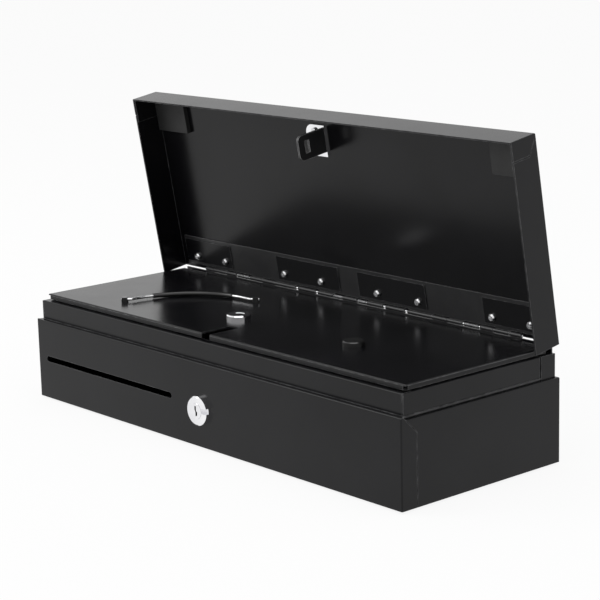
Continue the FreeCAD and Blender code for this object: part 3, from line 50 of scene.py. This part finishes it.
class Graph:
    """The nodes of one material, with its Principled shader."""

    def __init__(self, name):
        self.material = bpy.data.materials.new(name)
        self.material.use_nodes = True
        self.nodes = self.material.node_tree.nodes
        self.links = self.material.node_tree.links
        self.shader = self.nodes["Principled BSDF"]
        self.place = self.nodes.new("ShaderNodeTexCoord").outputs["Object"]

    def join(self, source, target):
        self.links.new(source, target)

    def stretch(self, scale):
        """The object's own coordinates, stretched along each axis."""
        node = self.nodes.new("ShaderNodeMapping")
        node.inputs["Scale"].default_value = scale
        self.join(self.place, node.inputs["Vector"])
        return node.outputs["Vector"]

    def noise(self, scale, detail=3.0, roughness=0.55, place=None):
        node = self.nodes.new("ShaderNodeTexNoise")
        node.inputs["Scale"].default_value = scale
        node.inputs["Detail"].default_value = detail
        node.inputs["Roughness"].default_value = roughness
        self.join(place or self.place, node.inputs["Vector"])
        return node.outputs["Fac"]

    def ramp(self, value, stops):
        """A value turned into a colour through stops of (position, grey or colour)."""
        node = self.nodes.new("ShaderNodeValToRGB")
        ramp = node.color_ramp
        while len(ramp.elements) < len(stops):
            ramp.elements.new(0.5)
        for element, (position, colour) in zip(ramp.elements, stops):
            element.position = position
            element.color = colour if len(colour) == 4 else (*colour, 1.0)
        self.join(value, node.inputs["Fac"])
        return node.outputs["Color"]

    def between(self, value, low, high):
        """A value from 0 to 1 moved to run from low to high."""
        node = self.nodes.new("ShaderNodeMapRange")
        node.inputs["To Min"].default_value = low
        node.inputs["To Max"].default_value = high
        self.join(value, node.inputs["Value"])
        return node.outputs["Result"]

    def bump(self, height, strength, distance):
        node = self.nodes.new("ShaderNodeBump")
        node.inputs["Strength"].default_value = strength
        node.inputs["Distance"].default_value = distance
        self.join(height, node.inputs["Height"])
        self.join(node.outputs["Normal"], self.shader.inputs["Normal"])

    def edge_mask(self, radius, low, high):
        """1 on edges and 0 on flat faces, from the difference that a bevel makes to the normal."""
        bevel = self.nodes.new("ShaderNodeBevel")
        bevel.samples = 4
        bevel.inputs["Radius"].default_value = radius
        plain = self.nodes.new("ShaderNodeNewGeometry")
        dot = self.nodes.new("ShaderNodeVectorMath")
        dot.operation = "DOT_PRODUCT"
        self.join(bevel.outputs["Normal"], dot.inputs[0])
        self.join(plain.outputs["Normal"], dot.inputs[1])
        node = self.nodes.new("ShaderNodeMapRange")
        node.inputs["From Min"].default_value = high
        node.inputs["From Max"].default_value = low
        self.join(dot.outputs["Value"], node.inputs["Value"])
        return node.outputs["Result"]

    def blend(self, factor, first, second):
        node = self.nodes.new("ShaderNodeMix")
        node.data_type = "RGBA"
        self.join(factor, node.inputs["Factor"])
        self.join(first, node.inputs["A"])
        self.join(second, node.inputs["B"])
        return node.outputs["Result"]


def powder_coat():
    """Satin black powder coat with fine orange peel and faint clouds, its edges lightened as a painted
    highlight of the rounded folds.
    """
    graph = Graph("satin_powder_coat")
    clouds = graph.noise(14.0, 4.0)
    base = graph.ramp(clouds, [(0.3, (0.0025, 0.0025, 0.003)), (0.7, (0.0055, 0.0055, 0.0065))])
    # Painted highlight: the edges are coloured light grey to stand in for the light that the rounded folds
    # catch.
    painted_fold_highlight = graph.ramp(graph.noise(160.0), [(0.35, (0.06, 0.06, 0.062)), (0.75, (0.26, 0.26, 0.265))])
    mask = graph.edge_mask(COAT_HIGHLIGHT_EDGE, 0.72, 0.97)
    graph.join(graph.blend(mask, base, painted_fold_highlight), graph.shader.inputs["Base Color"])
    graph.join(graph.between(graph.noise(26.0, 5.0), 0.17, 0.27), graph.shader.inputs["Roughness"])
    graph.bump(graph.noise(900.0, 2.0), 0.10, 0.00006)
    graph.shader.inputs["Specular IOR Level"].default_value = 0.22
    return graph.material


def metal(name, dark, light, rough_low, rough_high, grain, grain_scale, strength):
    """Bare or plated metal with a directional grain, stains and small dents."""
    graph = Graph(name)
    stains = graph.noise(60.0, 5.0)
    graph.join(graph.ramp(stains, [(0.3, dark), (0.7, light)]), graph.shader.inputs["Base Color"])
    fine = graph.noise(grain_scale, 3.0, 0.6, graph.stretch(grain))
    graph.join(graph.between(fine, rough_low, rough_high), graph.shader.inputs["Roughness"])
    graph.bump(fine, strength, 0.00003)
    graph.shader.inputs["Metallic"].default_value = 1.0
    return graph.material


def plastic(name, dark, light, rough_low, rough_high, grain_scale, strength):
    """Moulded plastic or rubber with a fine grain."""
    graph = Graph(name)
    graph.join(graph.ramp(graph.noise(35.0, 4.0), [(0.3, dark), (0.7, light)]),
               graph.shader.inputs["Base Color"])
    fine = graph.noise(grain_scale, 2.0)
    graph.join(graph.between(graph.noise(120.0), rough_low, rough_high), graph.shader.inputs["Roughness"])
    graph.bump(fine, strength, 0.00008)
    return graph.material


def black_oxide(name, edge):
    """Blackened sheet steel, lighter along its edges."""
    graph = Graph(name)
    base = graph.ramp(graph.noise(45.0, 4.0), [(0.3, (0.010, 0.010, 0.011)), (0.7, (0.020, 0.020, 0.021))])
    bright = graph.ramp(graph.noise(400.0), [(0.3, (0.25, 0.25, 0.25)), (0.7, (0.6, 0.6, 0.6))])
    mask = graph.edge_mask(edge, 0.7, 0.95)
    graph.join(graph.blend(mask, base, bright), graph.shader.inputs["Base Color"])
    graph.join(graph.between(graph.noise(70.0), 0.25, 0.45), graph.shader.inputs["Roughness"])
    graph.bump(graph.noise(700.0), 0.12, 0.00005)
    return graph.material


def enamelled_winding():
    """Enamelled copper wire wound side by side along X."""
    graph = Graph("copper_winding")
    wave = graph.nodes.new("ShaderNodeTexWave")
    wave.bands_direction = "X"
    wave.inputs["Scale"].default_value = 420.0
    wave.inputs["Distortion"].default_value = 0.3
    graph.join(graph.place, wave.inputs["Vector"])
    graph.join(graph.ramp(wave.outputs["Fac"], [(0.2, (0.10, 0.03, 0.01)), (0.8, (0.55, 0.20, 0.07))]),
               graph.shader.inputs["Base Color"])
    graph.bump(wave.outputs["Fac"], 0.6, 0.0002)
    graph.join(graph.between(graph.noise(200.0), 0.25, 0.4), graph.shader.inputs["Roughness"])
    graph.shader.inputs["Metallic"].default_value = 0.8
    return graph.material


def dress(material, names):
    """Gives the named nodes of the frame a material."""
    for name in names.split():
        for slot in nodes[name].material_slots:
            slot.material = material
        if not nodes[name].material_slots:
            nodes[name].data.materials.append(material)


dress(powder_coat(), "case_shell front_panel collar hinge_support till_ledge lid_shell clamp_plates "
                     "insert_cover cover_skirts")
dress(black_oxide("black_oxide_steel", SHEET_EDGE), "hinge_base_leaf hinge_lid_leaf")
dress(black_oxide("blade_steel", BLADE_EDGE), "striker_tongue")
dress(metal("bright_zinc", (0.62, 0.62, 0.63), (0.88, 0.88, 0.89), 0.18, 0.34, EVEN_GRAIN, 500.0, 0.15),
      "hinge_pin leaf_rivets lid_screws striker_screws bracket_screws latch_pivot coil_plunger "
      "handle_wire front_lock_nut")
dress(metal("polished_chrome", (0.80, 0.80, 0.82), (0.94, 0.94, 0.95), 0.05, 0.12, EVEN_GRAIN, 300.0, 0.04),
      "striker_plate front_lock_body front_lock_plug cover_lock_body cover_lock_plug")
dress(metal("zinc_sheet", (0.40, 0.41, 0.42), (0.58, 0.58, 0.59), 0.28, 0.45, DRAWN_GRAIN, 700.0, 0.2),
      "front_lock_cam latch_bracket latch_lever release_coil cover_lock_cam")
dress(enamelled_winding(), "coil_winding")
dress(plastic("matt_rubber", (0.010, 0.010, 0.010), (0.022, 0.022, 0.022), 0.55, 0.75, 800.0, 0.3),
      "rubber_feet cable_grommet lid_pads")
dress(plastic("moulded_black", (0.012, 0.012, 0.013), (0.020, 0.020, 0.021), 0.38, 0.52, 1100.0, 0.25),
      "till_tray coin_tray lid_switch")
dress(plastic("smooth_black", (0.008, 0.008, 0.008), (0.013, 0.013, 0.013), 0.16, 0.28, 600.0, 0.06),
      "cover_knob handle_sleeve handle_eyes")


# The wound springs of the hinge

# The hinge's Y and Z, and where each window between its knuckles starts and ends along X.
HINGE_LINE = (0.0809, 0.0967)
SPRING_SPANS = [(-0.1497, -0.1331), (-0.0198, -0.0102), (0.0102, 0.0198), (0.1331, 0.1497)]


def wound_springs(material):
    """Close turns of round wire in each spring window of the hinge."""
    wire = 0.00032
    coil = 0.00145
    pitch = 0.00084
    steps = 12
    curve = bpy.data.curves.new("wound_hinge_springs", "CURVE")
    curve.dimensions = "3D"
    curve.bevel_depth = wire
    curve.bevel_resolution = 2
    curve.materials.append(material)
    for start, end in SPRING_SPANS:
        turns = int((end - start) / pitch)
        first = (start + end - turns * pitch) / 2
        spline = curve.splines.new("POLY")
        spline.points.add(turns * steps)
        for step, point in enumerate(spline.points):
            angle = math.tau * step / steps
            point.co = (first + pitch * step / steps, HINGE_LINE[0] + coil * math.cos(angle),
                        HINGE_LINE[1] + coil * math.sin(angle), 1.0)
        spline.use_smooth = True
    springs = bpy.data.objects.new("wound_hinge_springs", curve)
    bpy.context.collection.objects.link(springs)
    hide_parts("hinge_springs")
    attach(springs, "case")


wound_springs(metal("oiled_spring_wire", (0.16, 0.16, 0.16), (0.40, 0.40, 0.41), 0.2, 0.35,
                    EVEN_GRAIN, 900.0, 0.1))


# Floor, backdrop and light

def plain_rays(tree):
    """1 for rays that show the background: straight from the camera, or by way of metal or glass."""
    ray = tree.nodes.new("ShaderNodeLightPath")
    total = ray.outputs["Is Camera Ray"]
    for kind in ("Is Glossy Ray", "Is Transmission Ray"):
        either = tree.nodes.new("ShaderNodeMath")
        either.operation = "MAXIMUM"
        tree.links.new(total, either.inputs[0])
        tree.links.new(ray.outputs[kind], either.inputs[1])
        total = either.outputs["Value"]
    return total


def stage_material(name, share):
    """White that keeps some of the shadow: share is how much of it is plain white when seen."""
    material = bpy.data.materials.new(name)
    material.use_nodes = True
    tree = material.node_tree
    shader = tree.nodes["Principled BSDF"]
    shader.inputs["Base Color"].default_value = (0.86, 0.86, 0.86, 1.0)
    shader.inputs["Roughness"].default_value = 0.9
    shader.inputs["Specular IOR Level"].default_value = 0.0
    glow = tree.nodes.new("ShaderNodeEmission")
    seen = tree.nodes.new("ShaderNodeMath")
    seen.operation = "MULTIPLY"
    seen.inputs[1].default_value = share
    mix = tree.nodes.new("ShaderNodeMixShader")
    tree.links.new(plain_rays(tree), seen.inputs[0])
    tree.links.new(seen.outputs["Value"], mix.inputs["Fac"])
    tree.links.new(shader.outputs["BSDF"], mix.inputs[1])
    tree.links.new(glow.outputs["Emission"], mix.inputs[2])
    tree.links.new(mix.outputs["Shader"], tree.nodes["Material Output"].inputs["Surface"])
    return material


def flat_panel(name, corners, material):
    """A flat sheet of the stage through the given corners."""
    mesh = bpy.data.meshes.new(name)
    mesh.from_pydata(corners, [], [tuple(range(len(corners)))])
    panel = bpy.data.objects.new(name, mesh)
    bpy.context.collection.objects.link(panel)
    mesh.materials.append(material)
    return panel


FLOOR_HALF = 6
FLOOR_WHITE = 0.9
flat_panel("floor", [(-FLOOR_HALF, -FLOOR_HALF, 0), (FLOOR_HALF, -FLOOR_HALF, 0),
                     (FLOOR_HALF, FLOOR_HALF, 0), (-FLOOR_HALF, FLOOR_HALF, 0)],
           stage_material("pale_floor", FLOOR_WHITE))


def soft_lamp(name, place, target, width, height, power):
    """A rectangular lamp at a place, turned to a target."""
    data = bpy.data.lights.new(name, "AREA")
    data.shape = "RECTANGLE"
    data.size = width
    data.size_y = height
    data.energy = power
    lamp = bpy.data.objects.new(name, data)
    lamp.location = place
    lamp.rotation_euler = (Vector(target) - Vector(place)).to_track_quat("-Z", "Y").to_euler()
    bpy.context.collection.objects.link(lamp)
    return lamp


DRAWER_MIDDLE = (0.0, 0.0, 0.1)
soft_lamp("key_softbox", (-1.4, -1.6, 1.5), DRAWER_MIDDLE, 1.4, 1.0, 16.0)
soft_lamp("top_softbox", (0.2, -0.2, 2.0), DRAWER_MIDDLE, 1.6, 1.2, 11.0)


def studio_world():
    """A pale studio: white where it is seen or mirrored, and softer as a light."""
    world = bpy.data.worlds.new("studio")
    bpy.context.scene.world = world
    world.use_nodes = True
    tree = world.node_tree
    background = tree.nodes["Background"]
    strength = tree.nodes.new("ShaderNodeMapRange")
    strength.inputs["To Min"].default_value = 0.7
    strength.inputs["To Max"].default_value = 1.0
    tree.links.new(plain_rays(tree), strength.inputs["Value"])
    tree.links.new(strength.outputs["Result"], background.inputs["Strength"])
    background.inputs["Color"].default_value = (1.0, 1.0, 1.0, 1.0)


studio_world()


# Camera

CAMERA_PLACE = Vector((1.1682, -0.9971, 0.4501))
CAMERA_TARGET = Vector((-0.15666, 0.13745, 0.062))
CAMERA_ROLL = -0.0271
CAMERA_LENS = 114.96
CAMERA_SHIFT = (0.0313, 0.0018)


def photo_camera():
    """The camera that took the photograph, from its fitted place, direction and focal length."""
    data = bpy.data.cameras.new("photo_camera")
    camera = bpy.data.objects.new("photo_camera", data)
    bpy.context.collection.objects.link(camera)
    data.sensor_width = 36.0
    data.lens = CAMERA_LENS
    data.shift_x, data.shift_y = CAMERA_SHIFT
    data.clip_end = 50.0
    ahead = (CAMERA_TARGET - CAMERA_PLACE).normalized()
    across = ahead.cross(Vector((0.0, 0.0, 1.0))).normalized()
    upward = across.cross(ahead)
    turn = Matrix((across, upward, -ahead)).transposed()
    tilt = Matrix.Rotation(CAMERA_ROLL, 3, "Z")
    camera.matrix_world = Matrix.Translation(CAMERA_PLACE) @ (turn @ tilt).to_4x4()
    bpy.context.scene.camera = camera


photo_camera()
bpy.context.scene.view_settings.view_transform = "Standard"
